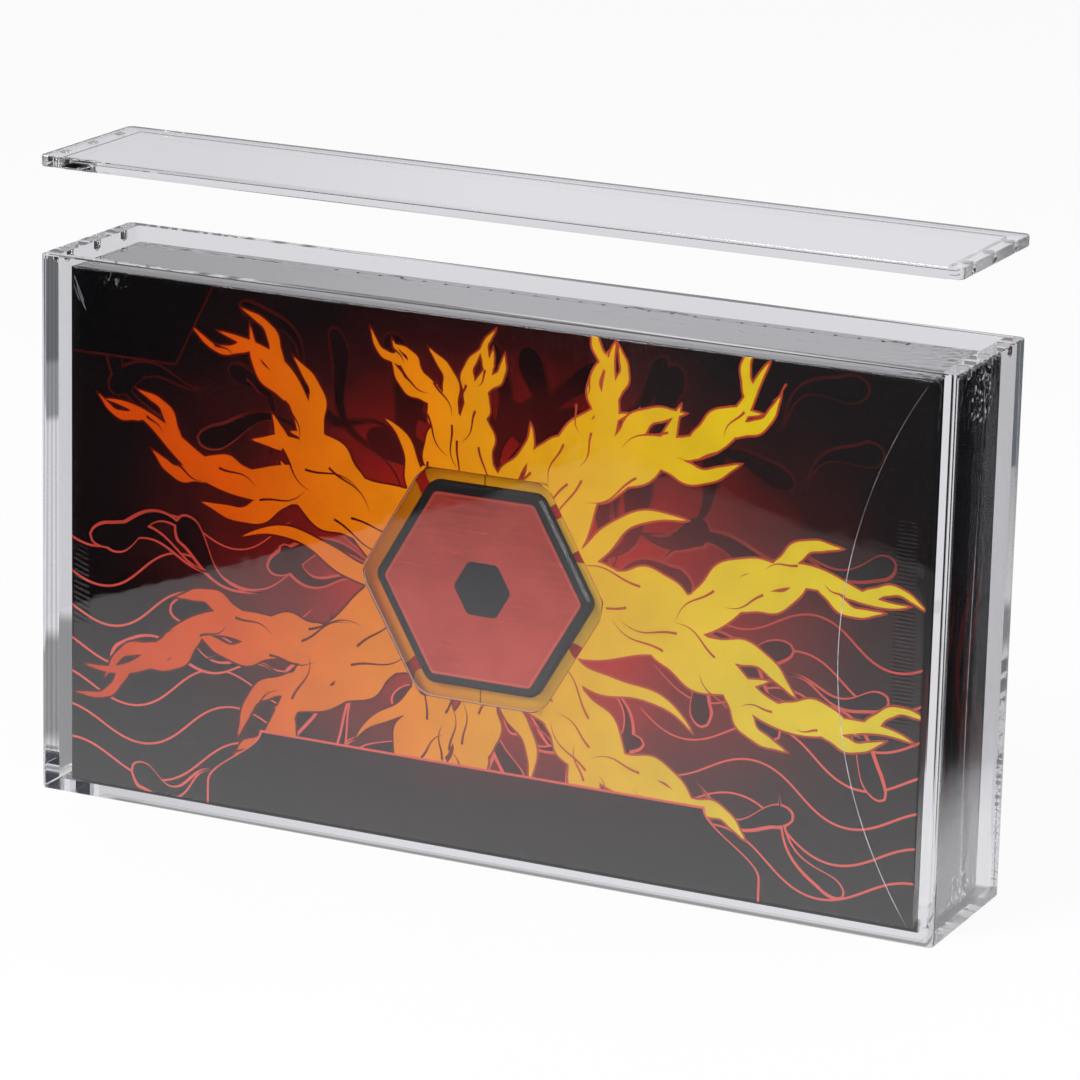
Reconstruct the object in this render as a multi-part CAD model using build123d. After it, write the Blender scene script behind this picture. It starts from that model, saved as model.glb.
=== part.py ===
from build123d import *
import os
from math import radians, tan

# Clear acrylic display case with a lift-off magnetic lid, holding a shrink-wrapped boxed set.
# Millimetres. +X runs to the right, +Y to the back and +Z up.
# The origin is the centre of the case's footprint, on the surface that it stands on.

# Boxed set: the case is made to fit it, so its outer size over the film drives everything.
set_width = 415.0
set_depth = 59.0
set_height = 241.0
film_thickness = 0.15
card_thickness = 1.2

# Room round the boxed set inside the case.
left_clearance = 6.0
right_clearance = 3.0
front_clearance = 1.0
back_clearance = 10.0
top_clearance = 4.7
seat_gap = 0.3

# Acrylic panels of the case.
front_thickness = 5.0
back_thickness = 5.0
side_thickness = 8.0
base_thickness = 5.0
corner_radius = 3.0
edge_break = 0.4

# Lid: a plate as large as the case, with a shallow lip below that drops into the mouth.
lid_thickness = 5.0
lip_height = 1.5
lip_clearance = 1.0
lid_lift = 40.0

# Magnets: glued into blind drilled holes in the side walls' rims and in the lid's underside.
magnet_diameter = 5.0
case_magnet_height = 4.0
lid_magnet_height = 2.5
magnet_clearance = 0.1
magnet_margin = 11.0
drill_point_angle = 118.0

# Tray inside the carton: its printed face is set back behind the window.
tray_thickness = 0.8
tray_clearance = 0.3
window_depth = 5.0

# Six-sided raised badge on the tray, seen through a window of its own outline.
badge_height = 92.0
badge_corner = 6.0
badge_thickness = 4.5
badge_rim = 3.0
badge_bevel = 1.2
badge_core = 24.0
face_thickness = 1.0
face_recess = 0.8
face_clearance = 0.1
window_margin = 6.0

# Sizes worked out from the ones above.
mouth_width = left_clearance + set_width + right_clearance
mouth_depth = front_clearance + set_depth + back_clearance
case_width = mouth_width + 2 * side_thickness
case_depth = front_thickness + mouth_depth + back_thickness
set_bottom = base_thickness + seat_gap
case_height = set_bottom + set_height + top_clearance
front_face = -case_depth / 2
mouth_front = front_face + front_thickness
mouth_back = mouth_front + mouth_depth
lid_bottom = case_height + lid_lift
lid_top = lid_bottom + lid_thickness
magnet_x = case_width / 2 - side_thickness / 2
magnet_row = mouth_depth / 2 - magnet_margin

set_left = -mouth_width / 2 + left_clearance
set_front = mouth_front + front_clearance
set_middle_x = set_left + set_width / 2
set_middle_z = set_bottom + set_height / 2
carton_front = set_front + film_thickness
tray_front = carton_front + card_thickness + tray_clearance
tray_face = carton_front + window_depth
badge_front = tray_face - badge_thickness


def block(low, high):
    """A box between two opposite corners."""
    size = [b - a for a, b in zip(low, high)]
    return Pos(*low) * Box(*size, align=(Align.MIN, Align.MIN, Align.MIN))


def outer_form(bottom, top, broken_ends):
    """The case's rounded outline as a prism, with its outer edge broken at the ends named."""
    outline = RectangleRounded(case_width, case_depth, corner_radius)
    form = extrude(Pos(0, 0, bottom) * outline, top - bottom)
    for height in broken_ends:
        rim = [e for e in form.edges() if abs(e.bounding_box().min.Z - height) < edge_break / 10
               and abs(e.bounding_box().max.Z - height) < edge_break / 10]
        form = chamfer(rim, edge_break)
    return form


def magnet_places():
    """The side, row and centre of each of the six magnets of one level."""
    sides = {"left": -magnet_x, "right": magnet_x}
    rows = {"front": -magnet_row, "middle": 0.0, "rear": magnet_row}
    return [(side, row, x, y) for side, x in sides.items() for row, y in rows.items()]


def magnet_hole(x, y, mouth_z, magnet_height, direction):
    """A drilled blind hole with its pointed end, going up (1) or down (-1) from its mouth."""
    radius = magnet_diameter / 2 + magnet_clearance
    depth = magnet_height + magnet_clearance
    point = radius / tan(radians(drill_point_angle / 2))
    barrel = Pos(0, 0, depth / 2) * Cylinder(radius, depth)
    tip = Pos(0, 0, depth + point / 2) * Cone(radius, 0, point)
    turn = Rot(0, 0, 0) if direction > 0 else Rot(180, 0, 0)
    return Pos(x, y, mouth_z) * turn * (barrel + tip)


def magnet(x, y, mouth_z, magnet_height, direction):
    """A disc magnet just inside the mouth of its hole."""
    middle = mouth_z + direction * (magnet_clearance + magnet_height / 2)
    return Pos(x, y, middle) * Cylinder(magnet_diameter / 2, magnet_height)


def case_panels():
    """Five bonded panels: front and back run full width, sides and base stand between them."""
    shell = outer_form(0, case_height, [0, case_height])
    half_width = case_width / 2
    inner = mouth_width / 2
    regions = {
        "front_panel": ((-half_width, front_face, 0), (half_width, mouth_front, case_height)),
        "back_panel": ((-half_width, mouth_back, 0), (half_width, -front_face, case_height)),
        "left_side_panel": ((-half_width, mouth_front, 0), (-inner, mouth_back, case_height)),
        "right_side_panel": ((inner, mouth_front, 0), (half_width, mouth_back, case_height)),
        "base_panel": ((-inner, mouth_front, 0), (inner, mouth_back, base_thickness)),
    }
    panels = {name: shell & block(low, high) for name, (low, high) in regions.items()}
    for side, row, x, y in magnet_places():
        panels[side + "_side_panel"] -= magnet_hole(x, y, case_height, case_magnet_height, -1)
    return panels


def case_magnets():
    """Three magnets under the rim of each side wall."""
    return {f"case_magnet_{side}_{row}": magnet(x, y, case_height, case_magnet_height, -1)
            for side, row, x, y in magnet_places()}


def lid_panel():
    """The lid's plate and the lip under it, which is smaller than the mouth all round."""
    plate = outer_form(lid_bottom, lid_top, [lid_bottom, lid_top])
    lip_width = mouth_width - 2 * lip_clearance
    lip_depth = mouth_depth - 2 * lip_clearance
    middle_y = (mouth_front + mouth_back) / 2
    lip = Pos(0, middle_y, lid_bottom - lip_height / 2) * Box(lip_width, lip_depth, lip_height)
    lid = plate + lip
    for side, row, x, y in magnet_places():
        lid -= magnet_hole(x, y, lid_bottom, lid_magnet_height, 1)
    return lid


def lid_magnets():
    """Three magnets over each row of the case's, facing down."""
    return {f"lid_magnet_{side}_{row}": magnet(x, y, lid_bottom, lid_magnet_height, 1)
            for side, row, x, y in magnet_places()}


def set_block(inset):
    """The boxed set's outer box, drawn in by the same amount on all six sides."""
    low = (set_left + inset, set_front + inset, set_bottom + inset)
    high = (set_left + set_width - inset, set_front + set_depth - inset,
            set_bottom + set_height - inset)
    return block(low, high)


def badge_prism(height, corner, front, depth):
    """A flat-topped six-sided prism about the badge's axis, going back from its front face."""
    outline = RegularPolygon(height / 2, 6, major_radius=False)
    outline = fillet(outline.vertices(), corner)
    plane = Plane(origin=(set_middle_x, front, set_middle_z), x_dir=(1, 0, 0), z_dir=(0, 1, 0))
    return extrude(plane * outline, depth)


def shrink_film():
    """The clear film all round the carton."""
    return set_block(0) - set_block(film_thickness)


def carton():
    """The closed card box, with the window cut through its front."""
    box = set_block(film_thickness) - set_block(film_thickness + card_thickness)
    window_height = badge_height + 2 * window_margin
    window_corner = badge_corner + window_margin
    return box - badge_prism(window_height, window_corner, set_front, window_depth)


def display_tray():
    """The card tray in the carton: its walls reach both ways from its set-back printed face."""
    inset = film_thickness + card_thickness + tray_clearance
    body = set_block(inset)
    low = body.bounding_box().min
    high = body.bounding_box().max
    wall = tray_thickness
    pocket = block((low.X + wall, low.Y, low.Z + wall), (high.X - wall, tray_face, high.Z - wall))
    hollow = block((low.X + wall, tray_face + wall, low.Z + wall),
                   (high.X - wall, high.Y, high.Z - wall))
    return body - pocket - hollow


def badge_frame():
    """The badge's moulded body: a bevelled rim and a core, round the recess for its face."""
    body = badge_prism(badge_height, badge_corner, badge_front, badge_thickness)
    front_edges = body.faces().sort_by(Axis.Y)[0].edges()
    body = chamfer(front_edges, badge_bevel)
    opening = badge_height - 2 * (badge_bevel + badge_rim)
    corner = badge_corner - badge_rim
    recess = badge_prism(opening, corner, badge_front, face_recess)
    core = badge_prism(badge_core, corner, badge_front, face_recess)
    return body - (recess - core)


def badge_face():
    """The foil plate in the frame's recess, with an opening for the frame's core."""
    opening = badge_height - 2 * (badge_bevel + badge_rim)
    corner = badge_corner - badge_rim
    front = badge_front + face_recess - face_thickness
    plate = badge_prism(opening - 2 * face_clearance, corner, front, face_thickness)
    hole = badge_prism(badge_core + 2 * face_clearance, corner, front, face_thickness)
    return plate - hole


def all_nodes():
    """Every sub-part by its node's name."""
    nodes = {}
    nodes.update(case_panels())
    nodes.update(case_magnets())
    nodes["lid_panel"] = lid_panel()
    nodes.update(lid_magnets())
    nodes["shrink_film"] = shrink_film()
    nodes["carton"] = carton()
    nodes["display_tray"] = display_tray()
    nodes["badge_frame"] = badge_frame()
    nodes["badge_face"] = badge_face()
    return nodes


os.makedirs("parts", exist_ok=True)
for name, shape in all_nodes().items():
    solids = shape.solids()
    export_step(solids[0] if len(solids) == 1 else Compound(children=solids), f"parts/{name}.step")
    print(name, len(solids), "solid(s),", round(sum(s.volume for s in solids), 1), "mm3")
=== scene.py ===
# %% [markdown]
# # A clear display case round a boxed set
# The case is made of acrylic sheets bonded at their edges, with a lid that magnets hold. In it stands a printed
# carton in shrink film, and a six-sided badge shows through the carton's window. The sheets, the magnets, the
# carton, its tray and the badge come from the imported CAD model, which is the fixed frame here. Blender adds what
# CAD leaves out: the way clear plastic bends light, the film with its creases, and the print on the card.

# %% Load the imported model
import bmesh
import bpy
import numpy as np
from mathutils import Matrix, Vector


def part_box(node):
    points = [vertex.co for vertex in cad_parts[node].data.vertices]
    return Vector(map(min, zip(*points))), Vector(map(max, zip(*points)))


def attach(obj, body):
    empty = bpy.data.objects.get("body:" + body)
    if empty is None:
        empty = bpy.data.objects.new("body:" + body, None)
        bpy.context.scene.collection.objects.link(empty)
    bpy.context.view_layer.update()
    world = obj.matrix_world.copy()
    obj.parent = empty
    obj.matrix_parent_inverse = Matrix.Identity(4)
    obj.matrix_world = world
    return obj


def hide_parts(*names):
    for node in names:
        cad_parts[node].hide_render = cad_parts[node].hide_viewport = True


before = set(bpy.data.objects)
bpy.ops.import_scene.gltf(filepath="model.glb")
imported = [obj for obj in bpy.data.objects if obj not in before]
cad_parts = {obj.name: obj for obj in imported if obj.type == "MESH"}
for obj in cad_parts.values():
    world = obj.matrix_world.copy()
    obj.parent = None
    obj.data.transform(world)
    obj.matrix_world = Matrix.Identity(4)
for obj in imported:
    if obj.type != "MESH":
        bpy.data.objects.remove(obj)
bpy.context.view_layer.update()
mm = 0.001

# %% [markdown]
# ## The camera
# A product photograph of a long box is taken with a long lens, so that its edges stay nearly parallel. The camera
# here stands where the corners of the case say it stood: to the right, a little above, and tilted by over a degree.
# The camera's axes are worked out as vectors and set as a matrix, which avoids any doubt about rotation orders.

# %% Place the camera
camera_turn = np.radians(25.41)
camera_rise = np.radians(15.62)
camera_roll = np.radians(1.38)
camera_distance = 2287.7 * mm
camera_target = Vector((12.1, 0.0, 141.4)) * mm
camera_lens = 172.88
camera_sensor = 36.0


def place_camera():
    """Puts the camera at the target plus the distance along its back axis, rolled about that axis."""
    back = Vector((np.sin(camera_turn) * np.cos(camera_rise),
                   -np.cos(camera_turn) * np.cos(camera_rise),
                   np.sin(camera_rise)))
    level = Vector((0, 0, 1)).cross(back).normalized()
    upright = back.cross(level)
    right = level * np.cos(camera_roll) + upright * np.sin(camera_roll)
    up = upright * np.cos(camera_roll) - level * np.sin(camera_roll)
    camera = bpy.data.objects.new("camera", bpy.data.cameras.new("camera"))
    camera.data.lens = camera_lens
    camera.data.sensor_width = camera_sensor
    camera.data.clip_end = 100.0
    turn = Matrix((right, up, back)).transposed().to_4x4()
    camera.matrix_world = Matrix.Translation(camera_target + back * camera_distance) @ turn
    bpy.context.scene.collection.objects.link(camera)
    bpy.context.scene.camera = camera
    print("camera at", [round(part, 3) for part in camera.matrix_world.translation], "m")


place_camera()
bpy.context.scene.view_settings.view_transform = "Standard"

# %% [markdown]
# ## Shader maths as plain expressions
# A material is a graph of nodes, and a graph is hard to read as code. So one small class wraps a node's output and
# gives it plus, minus, times and the like: each of them adds a Math node. A line such as 1.0 - mask * 0.5 then
# reads as the formula that it is.

# %% Sockets that can be added and multiplied
def arithmetic(operation, turned=False):
    """A method that adds a Math node for an operator. Turned is for the reflected forms, such as 1 - mask, in which
    the socket comes second."""
    def method(self, other):
        return self.maths(operation, *((other, self) if turned else (self, other)))
    return method


class Socket:
    """One output of a node, with arithmetic that adds Math nodes to the same finish."""

    __add__, __radd__ = arithmetic("ADD"), arithmetic("ADD", turned=True)
    __sub__, __rsub__ = arithmetic("SUBTRACT"), arithmetic("SUBTRACT", turned=True)
    __mul__, __rmul__ = arithmetic("MULTIPLY"), arithmetic("MULTIPLY", turned=True)
    __truediv__, __rtruediv__ = arithmetic("DIVIDE"), arithmetic("DIVIDE", turned=True)
    __pow__, __gt__, __lt__ = arithmetic("POWER"), arithmetic("GREATER_THAN"), arithmetic("LESS_THAN")

    def __init__(self, finish, output):
        self.finish = finish
        self.output = output

    def also(self, name):
        """Another output of the same node."""
        return Socket(self.finish, self.output.node.outputs[name])

    def maths(self, operation, *values):
        """Adds a Math node that takes the values in order."""
        return self.finish.add("ShaderNodeMath", {"operation": operation}, dict(enumerate(values)))

    def __abs__(self):
        return self.maths("ABSOLUTE", self)

    def either(self, other):
        """The larger of the two, which is a logical or for masks of 0 and 1."""
        return self.maths("MAXIMUM", self, other)

    def sine(self):
        """The sine of this as an angle in radians."""
        return self.maths("SINE", self)

    def climb(self, low, high, first=0.0, last=1.0, kind="SMOOTHSTEP"):
        """Runs from the first value to the last while this rises from low to high."""
        return self.finish.add("ShaderNodeMapRange", {"interpolation_type": kind},
                               {"Value": self, "From Min": low, "From Max": high, "To Min": first, "To Max": last})

    def within(self, low, high, soft):
        """1 between low and high, falling softly to 0 outside."""
        return self.climb(low - soft, low + soft) * self.climb(high - soft, high + soft, 1.0, 0.0)


# %% [markdown]
# The second class stands for whatever has nodes: a material, the world or a lamp. Its method add makes any node, sets
# its settings first and then fills its inputs. The other methods are short names for nodes that come often.

# %% A finish, and the one method that adds its nodes
class Finish:
    """A material, the world or a lamp, whose nodes are added one by one."""

    outputs = {"MATERIAL": "ShaderNodeOutputMaterial", "WORLD": "ShaderNodeOutputWorld",
               "LIGHT": "ShaderNodeOutputLight"}

    def __init__(self, block):
        block.use_nodes = True
        self.block = block
        self.tree = block.node_tree
        self.tree.nodes.clear()

    def add(self, kind, settings=None, values=None, output=0):
        """Adds a node, with its settings first and then its inputs, and returns one of its outputs."""
        node = self.tree.nodes.new(kind)
        for name, value in (settings or {}).items():
            if name == "stops":
                self.set_stops(node.color_ramp.elements, value)
            else:
                setattr(node, name, value)
        for name, value in (values or {}).items():
            if isinstance(value, Socket):
                self.tree.links.new(value.output, node.inputs[name])
            else:
                node.inputs[name].default_value = value
        return Socket(self, node.outputs[output]) if node.outputs else None

    def set_stops(self, elements, stops):
        """Fills a colour ramp with (position, colour) pairs in rising order."""
        elements[0].position = stops[0][0]
        elements[1].position = stops[-1][0]
        for position, _ in stops[1:-1]:
            elements.new(position)
        for element, (_, colour) in zip(elements, stops):
            element.color = colour

    def ramp(self, factor, *stops):
        """A colour that changes with a factor, given as (position, colour) pairs."""
        return self.add("ShaderNodeValToRGB", {"stops": stops}, {"Fac": factor})

    def place(self):
        """Object coordinates in millimetres, as a vector and as its three parts."""
        point = self.add("ShaderNodeTexCoord", output="Object")
        scaled = self.add("ShaderNodeVectorMath", {"operation": "SCALE"}, {0: point, "Scale": 1 / mm})
        parts = self.add("ShaderNodeSeparateXYZ", {}, {0: scaled})
        return scaled, parts, parts.also("Y"), parts.also("Z")

    def noise(self, vector, scale, detail=3.0, squeeze=(1.0, 1.0, 1.0)):
        """Smooth noise round 0.5. Its features are 1 / scale apart, and along each axis that is divided by the
        squeeze."""
        place = self.add("ShaderNodeVectorMath", {"operation": "MULTIPLY"}, {0: vector, 1: squeeze})
        return self.add("ShaderNodeTexNoise", {}, {"Vector": place, "Scale": scale, "Detail": detail})

    def mix(self, factor, first, second, blend="MIX"):
        """A colour between two others."""
        settings = {"data_type": "RGBA", "blend_type": blend}
        return self.add("ShaderNodeMix", settings, {0: factor, 6: first, 7: second}, output=2)

    def bump(self, height, strength, distance):
        """A normal tilted by a height."""
        return self.add("ShaderNodeBump", {}, {"Height": height, "Strength": strength, "Distance": distance})

    def shaders(self, factor, first, second):
        """A surface between two others."""
        return self.add("ShaderNodeMixShader", {}, {0: factor, 1: first, 2: second})

    def plastic(self, **values):
        """The Principled shader, with its inputs named as in Blender but with _ for a blank."""
        return self.add("ShaderNodeBsdfPrincipled", {}, {k.replace("_", " "): v for k, v in values.items()})

    def done(self, surface):
        """Sends a shader to the output and returns the material."""
        self.add(self.outputs[self.block.id_type], {}, {"Surface": surface})
        return self.block


def new_finish(name):
    """An empty material, and the place on the object: as a vector in millimetres, and as x, y and z."""
    finish = Finish(bpy.data.materials.new(name))
    return (finish, *finish.place())


def ink(red, green, blue):
    """A screen colour, 0 to 255 each, as the linear values that shaders take, and a full alpha."""
    share = np.array([red, green, blue]) / 255
    linear = np.where(share <= 0.04045, share / 12.92, ((share + 0.055) / 1.055) ** 2.4)
    return (*linear.tolist(), 1.0)


white = (1.0, 1.0, 1.0, 1.0)

# %% [markdown]
# ## The studio
# Clear plastic has no colour of its own: what it shows is its surroundings, bent and mirrored. So the studio is part
# of the look. The eye sees a white floor and background. Rays that have met the plastic see the same studio with its
# dark parts: a white table that ends on the left and in front, a dark corner of the room behind it on the right, and
# the case's own soft shadow. That gives the front sheet its pale reflection with a slanting edge, and the ends of the
# sheets their dark bands.

# %% Surroundings seen through the plastic, and the world
seen_through = ink(223, 222, 227)
unlit = ink(14, 14, 16)
dim = ink(66, 66, 68)
wall_tone = ink(132, 132, 134)
corner_tone = ink(38, 44, 56)
painted_guided_tone = ink(112, 117, 124)
left_sky = ink(203, 202, 206)


def studio_world():
    """White for the eye. For all other rays, bright behind the object, duller towards the left, with a dark corner on
    the right, and a grey wall in front of it."""
    world = Finish(bpy.data.worlds.new("studio"))
    eye = world.add("ShaderNodeLightPath", output="Is Camera Ray")
    direction = world.add("ShaderNodeTexCoord", output="Generated")
    side = world.add("ShaderNodeSeparateXYZ", {}, {0: direction})
    back = side.also("Y")
    behind = world.mix(side.climb(-0.49, -0.42), left_sky, seen_through)
    around = world.mix(back.climb(-0.35, 0.15), wall_tone, behind)
    around = world.mix(side.climb(0.2, 0.4) * back.climb(0.1, 0.4), around, corner_tone)
    colour = world.mix(eye, around, white)
    return world.done(world.add("ShaderNodeBackground", {}, {"Color": colour, "Strength": 1.0}))


bpy.context.scene.world = studio_world()
print("world:", bpy.context.scene.world.name)

# %% [markdown]
# ## Surfaces from formulas
# All that is not CAD here is drawn as grids of points that a formula gives, row by row. A grid becomes squares, and
# where grids meet, or close on themselves, their points are merged, so that the surface has no open seam.

# %% From grids of points to an object
def grid_faces(rows, columns, first):
    """Corner numbers of a grid's squares. Their normal is the row direction crossed with the column direction."""
    corner = np.arange(rows * columns).reshape(rows, columns) + first
    quads = np.stack([corner[:-1, :-1], corner[1:, :-1], corner[1:, 1:], corner[:-1, 1:]], axis=-1)
    return quads.reshape(-1, 4)


def merge_close_points(mesh, distance):
    """Merges points that lie closer together than a distance in millimetres."""
    work = bmesh.new()
    work.from_mesh(mesh)
    bmesh.ops.remove_doubles(work, verts=work.verts, dist=distance * mm)
    work.to_mesh(mesh)
    work.free()


def grid_object(name, grids, finish, smooth=False, merge=0.0):
    """One object from grids of points in millimetres, each an array of rows, columns and 3."""
    firsts = np.cumsum([0] + [grid.shape[0] * grid.shape[1] for grid in grids])
    faces = np.concatenate([grid_faces(*grid.shape[:2], first) for grid, first in zip(grids, firsts)])
    points = np.concatenate([grid.reshape(-1, 3) for grid in grids]) * mm
    mesh = bpy.data.meshes.new(name)
    mesh.from_pydata(points.tolist(), [], faces.tolist())
    if merge:
        merge_close_points(mesh, merge)
    mesh.materials.append(finish)
    mesh.polygons.foreach_set("use_smooth", np.full(len(mesh.polygons), smooth))
    piece = bpy.data.objects.new(name, mesh)
    bpy.context.scene.collection.objects.link(piece)
    print(name, len(grids), "grids,", len(mesh.polygons), "faces")
    return piece


# %% [markdown]
# The floor is white paper for the eye. To light that plastic bent or mirrored it shows a glow of painted light and
# shade, in tones laid over one another like coats of paint. In front it brightens towards the case. Behind the case it
# has the surroundings' tone, with the case's painted shadow on the left, a painted paler patch of light on the right
# and a thin dark line of painted shade at its foot. Two painted steps of shade lead down to the room's dark corner,
# painted dark streaks run slantwise away from the case's left end, and under the case it is painted dark as shade.
# The steps, the corner and the streaks show in mirror images only, so that a look through the plastic from any other
# side finds a pale floor.

# %% The floor's tones
floor_drop = 0.1
floor_reach = 8000.0
eye_share = 0.9
painted_shadow_tone = ink(148, 148, 150)
painted_shade_under_case = ink(60, 60, 62)


def floor_finish():
    """Pale paint that keeps a faint shadow for the eye. For bent or mirrored light, a glow of painted light and shade
    in the floor's tones, where each coat covers the ones before it by its share."""
    finish, point, x, y, z = new_finish("studio_floor")
    eye = finish.add("ShaderNodeLightPath", output="Is Camera Ray")
    bent = eye.also("Is Glossy Ray").either(eye.also("Is Transmission Ray"))
    mirrored = eye.also("Glossy Depth") > 0.5
    paint = finish.plastic(Base_Color=ink(246, 246, 246), Roughness=0.7)
    far = x + y * 0.475
    slant = x - y * 0.6
    behind = x.climb(-20.0, 80.0, 1.0, 0.0) * y.within(56.0, 205.0, 14.0)
    to_left = x.climb(-234.0, -222.0, 1.0, 0.0) * y.within(-60.0, 190.0, 14.0)
    streaks = (slant.within(-250.0, -228.0, 2.0) * y.within(40.0, 980.0, 4.0)
               * (slant * 2.3).sine().climb(-0.6, 1.0, 0.04, 0.32))
    # The coats paint the case's shadow, a pale patch of light, a dark line of shade at its foot, steps of shade
    # towards the corner, dark streaks, and shade under the case.
    coats = [(y.climb(36.0, 42.0), seen_through),
             (behind.either(to_left), painted_shadow_tone),
             (x.climb(60.0, 140.0) * y.within(42.0, 150.0, 6.0), ink(226, 226, 229)),
             (y.within(43.0, 48.0, 2.0) * x.within(-214.0, 203.0, 4.0), ink(140, 142, 140)),
             (mirrored * far.climb(375.0, 400.0), ink(150, 151, 154)),
             (mirrored * far.climb(505.0, 530.0), ink(109, 111, 114)),
             (mirrored * (x - y.either(0.0) * 0.12).climb(243.0, 285.0), unlit),
             (mirrored * streaks, ink(60, 62, 62)),
             (x.within(-216.0, 216.0, 3.0) * y.within(-37.0, 37.0, 2.0), painted_shade_under_case)]
    tone = finish.mix(y.climb(-640.0, -20.0, kind="LINEAR"), ink(118, 117, 119), ink(227, 226, 229))
    for share, value in coats:
        tone = finish.mix(share, tone, value)
    glow = finish.add("ShaderNodeEmission", {}, {"Color": finish.mix(eye, tone, white), "Strength": 1.0})
    return finish.done(finish.shaders((eye * eye_share).either(bent), paint, glow))


span = np.array([-floor_reach, floor_reach])
floor_points = np.stack([*np.meshgrid(span, span, indexing="ij"), np.full((2, 2), -floor_drop)], axis=-1)
grid_object("floor", [floor_points], floor_finish())

# %% [markdown]
# The white table ends on the left and in front. From its edge outwards, two cards glow with the dark of the room, as
# painted shade. Each is a strip between two lines of points, in millimetres from the case's middle: the table's edge,
# and the card's far end. Light that ran the length of a sheet has met more than a dozen faces, and finds another
# painted tone on a card.

# %% The cards that end the white table
card_lift = 0.5
guided_after = 12.0
left_edge = [(-378, -50), (-358, -303), (-330, -384), (-309, -457), (-288, -532), (-272, -586), (-257, -717)]
left_far = [(-5000, -50), (-5000, -1500), (-5000, -3000), (-4500, -3400), (-3600, -3600), (-2700, -3700),
            (-1717, -3717)]
front_edge = [(-257, -717), (618, -275)]
front_far = [(-1717, -3717), (3600, -3000)]


def card(name, edge, far, tone, guided_tone):
    """A card on the floor, from an edge to the far points, that shows only in mirrored light, as a glow of painted
    shade.
    """
    finish = Finish(bpy.data.materials.new(name))
    met = finish.add("ShaderNodeLightPath", output="Ray Depth")
    colour = finish.mix(met > guided_after, tone, guided_tone)
    glow = finish.add("ShaderNodeEmission", {}, {"Color": colour, "Strength": 1.0})
    clear = finish.add("ShaderNodeBsdfTransparent")
    shade = finish.done(finish.shaders(met.also("Glossy Depth") > 0.5, clear, glow))
    corners = np.array([edge, far], float)
    points = np.concatenate([corners, np.full((*corners.shape[:2], 1), card_lift)], axis=-1)
    piece = grid_object(name, [points], shade)
    for kind in ("camera", "diffuse", "shadow", "volume_scatter"):
        setattr(piece, "visible_" + kind, False)


card("left_card", left_edge, left_far, unlit, painted_guided_tone)
card("front_card", front_edge, front_far, dim, dim)

# %% [markdown]
# Two wide lamps in front give even light, and a narrow strip on the right makes the film's folds sparkle. A flat
# sheet mirrors a lamp as a white patch with a hard edge, and photographers turn the lamp until the patch is gone.
# Here the mirror image is made faint, as long as the light has passed two faces of a sheet at most.
#
# A sheet's end shows light that went to and fro inside the sheet, up to seventy times over the case's length. Each
# turn is a bounce, so the number of bounces is raised: with the few that are usual, the ends would go black.

# %% Three lamps, and enough bounces for clear plastic
mirrored_lamp = 0.05
lamp_aim = (0.0, 0.0, 0.12)


def soft_lamp(name, place, aim, width, height, power):
    """An area lamp, given by its place, the point it faces, its size and its power. Its strength is 1, and in mirror
    images met after at most two passed faces it is mirrored_lamp."""
    lamp = bpy.data.lights.new(name, "AREA")
    glow = Finish(lamp)
    met = glow.add("ShaderNodeLightPath", output="Glossy Depth")
    faint = (met > 0.5) * (met.also("Transmission Depth") < 2.5)
    strength = 1.0 - faint * (1.0 - mirrored_lamp)
    glow.done(glow.add("ShaderNodeEmission", {}, {"Color": white, "Strength": strength}))
    lamp.shape = "RECTANGLE"
    lamp.size = width
    lamp.size_y = height
    lamp.energy = power
    holder = bpy.data.objects.new(name, lamp)
    holder.location = place
    holder.rotation_euler = (Vector(aim) - Vector(place)).to_track_quat("-Z", "Y").to_euler()
    bpy.context.scene.collection.objects.link(holder)
    print(name, power, "W")


soft_lamp("key_lamp", (-1.4, -1.9, 1.7), lamp_aim, 1.4, 1.4, 60.0)
soft_lamp("fill_lamp", (1.9, -1.6, 1.5), lamp_aim, 1.6, 1.6, 35.0)
soft_lamp("strip_lamp", (1.9, 1.3, 0.75), (0.2, 0.0, 0.15), 0.3, 1.3, 12.0)
bounces = bpy.context.scene.cycles
bounces.max_bounces = 100
bounces.glossy_bounces = 96
bounces.transmission_bounces = 96
bounces.transparent_max_bounces = 32

# %% [markdown]
# ## The acrylic sheets
# Acrylic is a clear plastic with an index of refraction of 1.49. One Principled shader with full transmission bends
# and mirrors light as the real sheet does. Three things need care. Lamps must reach what is inside, so rays that only
# carry lamp light pass straight. Where two sheets are bonded, light runs on as if they were one block, so the
# touching faces are made to vanish; otherwise each joint would act as a mirror. And sawn ends are never polished as
# true as the cast faces, so they blur what they show a little.

# %% Clear acrylic with bonded joints
acrylic_index = 1.49
joint_band = 0.05
end_band = 0.6
high_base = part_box("base_panel")[1]
low_lid, high_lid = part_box("lid_panel")
inner_half_width = high_base.x / mm
inner_half_depth = high_base.y / mm
base_top = high_base.z / mm
outer_half_width = high_lid.x / mm


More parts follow.
